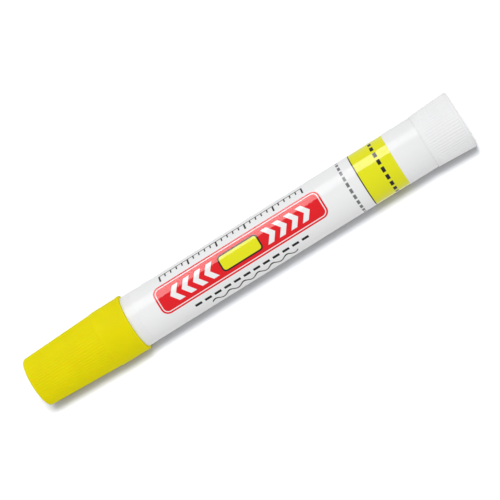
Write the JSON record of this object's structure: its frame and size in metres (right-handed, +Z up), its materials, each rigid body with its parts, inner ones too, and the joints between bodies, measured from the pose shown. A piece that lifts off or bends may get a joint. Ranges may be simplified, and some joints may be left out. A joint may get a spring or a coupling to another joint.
{
  "type": "marking stick",
  "caption": "Twist-up solid paint marking stick: white barrel with pull-off ribbed cap and ribbed tail knob, whose lead screw winds the paint stick out of the nose.",
  "frame": {"origin": "centre of the bounding box at its bottom, on the surface that the stick lies on", "axes": "+X along the stick from the cap to the knob, +Z up"},
  "size_m": [0.1508, 0.0186, 0.0187],
  "materials": {
    "cap_plastic": "satin moulded yellow",
    "seal_plastic": "natural soft plastic",
    "barrel_plastic": "glossy moulded white",
    "label_film": "glossy printed film",
    "knob_plastic": "satin moulded white",
    "mechanism_plastic": "natural moulded plastic",
    "nut_plastic": "hard moulded plastic",
    "ring_rubber": "black rubber",
    "paint": "waxy solid paint"
  },
  "bodies": {
    "barrel_body": {"barrel": "barrel_plastic", "label": "label_film", "tail_bush": "mechanism_plastic"},
    "cap_body": {"cap_shell": "cap_plastic", "cap_seal": "seal_plastic"},
    "drive_body": {"twist_knob": "knob_plastic", "drive_tube": "mechanism_plastic", "drive_nut": "nut_plastic", "friction_ring": "ring_rubber"},
    "feed_body": {"paint_stick": "paint", "carrier": "mechanism_plastic", "lead_screw": "nut_plastic"}
  },
  "joints": [
    {"name": "cap_pull", "type": "slide", "parent": "barrel_body", "child": "cap_body", "axis": [-1, 0, 0], "range_m": [0, 0.05]},
    {"name": "knob_turn", "type": "hinge", "parent": "barrel_body", "child": "drive_body", "pos_m": [0.0754, 0, 0.00935], "axis": [-1, 0, 0], "range_deg": [0, 2160]},
    {"name": "stick_feed", "type": "slide", "parent": "barrel_body", "child": "feed_body", "axis": [-1, 0, 0], "range_m": [0, 0.024]}
  ],
  "couplings": [
    {"joint": "knob_turn", "follows": "stick_feed", "rad_per_m": 1570.8}
  ]
}
